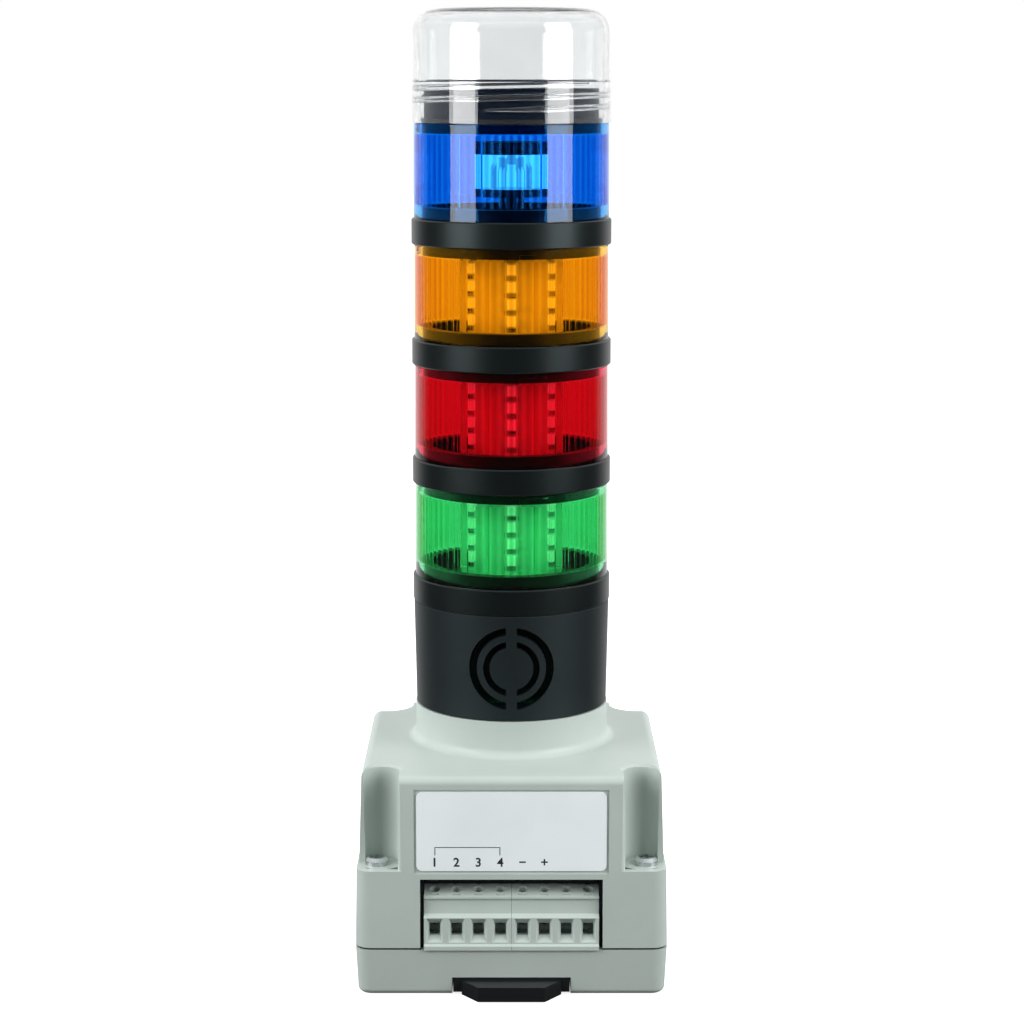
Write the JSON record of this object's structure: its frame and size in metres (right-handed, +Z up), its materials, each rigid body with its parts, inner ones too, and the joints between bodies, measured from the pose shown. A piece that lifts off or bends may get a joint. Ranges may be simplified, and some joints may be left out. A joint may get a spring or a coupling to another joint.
{
  "type": "stack light",
  "caption": "Signal tower with coloured fluted lenses, a sounder with a ring grille and a clear screw cap on a rail-mounted base with plug-in terminals.",
  "frame": {"origin": "middle of the rail slot, in the bottom plane of the base, on the tower's axis", "axes": "+Z up along the tower's axis, -Y towards the terminals, +X to the right seen from the front"},
  "size_m": [0.107, 0.1142, 0.3345],
  "materials": {
    "housing_grey": "fine moulded texture",
    "black_plastic": "fine moulded texture",
    "label_film": "satin film",
    "zinc_steel": "bright zinc",
    "seal_rubber": "matte",
    "circuit_board": "solder mask",
    "cable_sheath": "satin",
    "contact_brass": "plated",
    "sounder_metal": "satin",
    "white_plastic": "satin",
    "led_package": "gloss",
    "green_lens_plastic": "clear, fluted inside",
    "red_lens_plastic": "clear, fluted inside",
    "amber_lens_plastic": "clear, fluted inside",
    "blue_lens_plastic": "clear, fluted inside",
    "flash_glass": "polished",
    "clear_cover": "polished",
    "clear_plastic": "polished"
  },
  "bodies": {
    "base": {"upper_housing": "housing_grey", "label_plate": "label_film", "housing_screws": "zinc_steel", "housing_gasket": "seal_rubber", "lower_tray": "housing_grey", "latch_spring": "zinc_steel", "base_board": "circuit_board", "harness_connector": "black_plastic", "tower_harness": "cable_sheath", "tower_socket": "black_plastic", "tower_contact_ring": "contact_brass", "terminal_header": "black_plastic", "header_pins": "contact_brass"},
    "rail_latch": {"din_latch": "black_plastic"},
    "left_plug": {"terminal_plug_left": "housing_grey", "clamp_screws_left": "zinc_steel", "wire_clamps_left": "zinc_steel"},
    "right_plug": {"terminal_plug_right": "housing_grey", "clamp_screws_right": "zinc_steel", "wire_clamps_right": "zinc_steel"},
    "sounder_module": {"sounder_housing": "black_plastic", "sounder_disc": "sounder_metal", "sounder_board": "circuit_board", "sounder_core": "black_plastic", "sounder_contacts": "contact_brass"},
    "green_module": {"green_base_ring": "black_plastic", "green_lens": "green_lens_plastic", "green_board": "circuit_board", "green_led_carrier": "white_plastic", "green_led_boards": "circuit_board", "green_leds": "led_package", "green_contacts": "contact_brass"},
    "red_module": {"red_base_ring": "black_plastic", "red_lens": "red_lens_plastic", "red_board": "circuit_board", "red_led_carrier": "white_plastic", "red_led_boards": "circuit_board", "red_leds": "led_package", "red_contacts": "contact_brass"},
    "amber_module": {"amber_base_ring": "black_plastic", "amber_lens": "amber_lens_plastic", "amber_board": "circuit_board", "amber_led_carrier": "white_plastic", "amber_led_boards": "circuit_board", "amber_leds": "led_package", "amber_contacts": "contact_brass"},
    "blue_module": {"blue_base_ring": "black_plastic", "blue_lens": "blue_lens_plastic", "blue_board": "circuit_board", "strobe_carrier": "white_plastic", "strobe_reflector": "white_plastic", "strobe_cover": "clear_cover", "strobe_tube": "flash_glass", "blue_contacts": "contact_brass"},
    "neck": {"threaded_ring": "black_plastic"},
    "cap_seal": {"dome_seal": "seal_rubber"},
    "cap": {"dome_cap": "clear_plastic"}
  },
  "joints": [
    {"name": "latch_slide", "type": "slide", "parent": "base", "child": "rail_latch", "axis": [0, -1, 0], "range_m": [0, 0.0045], "stiffness_N_per_m": 1200, "springref_m": -0.0025, "deforming": ["latch_spring"]},
    {"name": "left_plug_slide", "type": "slide", "parent": "base", "child": "left_plug", "axis": [0, -1, 0], "range_m": [0, 0.012]},
    {"name": "right_plug_slide", "type": "slide", "parent": "base", "child": "right_plug", "axis": [0, -1, 0], "range_m": [0, 0.012]},
    {"name": "sounder_twist", "type": "hinge", "parent": "base", "child": "sounder_module", "pos_m": [0, 0, 0.09], "axis": [0, 0, 1], "range_deg": [0, 20]},
    {"name": "green_twist", "type": "hinge", "parent": "sounder_module", "child": "green_module", "pos_m": [0, 0, 0.1275], "axis": [0, 0, 1], "range_deg": [0, 20]},
    {"name": "red_twist", "type": "hinge", "parent": "green_module", "child": "red_module", "pos_m": [0, 0, 0.1695], "axis": [0, 0, 1], "range_deg": [0, 20]},
    {"name": "amber_twist", "type": "hinge", "parent": "red_module", "child": "amber_module", "pos_m": [0, 0, 0.2115], "axis": [0, 0, 1], "range_deg": [0, 20]},
    {"name": "blue_twist", "type": "hinge", "parent": "amber_module", "child": "blue_module", "pos_m": [0, 0, 0.2535], "axis": [0, 0, 1], "range_deg": [0, 20]},
    {"name": "neck_twist", "type": "hinge", "parent": "blue_module", "child": "neck", "pos_m": [0, 0, 0.2955], "axis": [0, 0, 1], "range_deg": [0, 20]},
    {"name": "cap_lift", "type": "slide", "parent": "neck", "child": "cap_seal", "axis": [0, 0, 1], "range_m": [0, 0.00401]},
    {"name": "cap_turn", "type": "hinge", "parent": "cap_seal", "child": "cap", "pos_m": [0, 0, 0.2955], "axis": [0, 0, 1], "range_deg": [0, 360]}
  ],
  "couplings": [
    {"joint": "cap_lift", "follows": "cap_turn", "m_per_rad": 0.00063662}
  ]
}
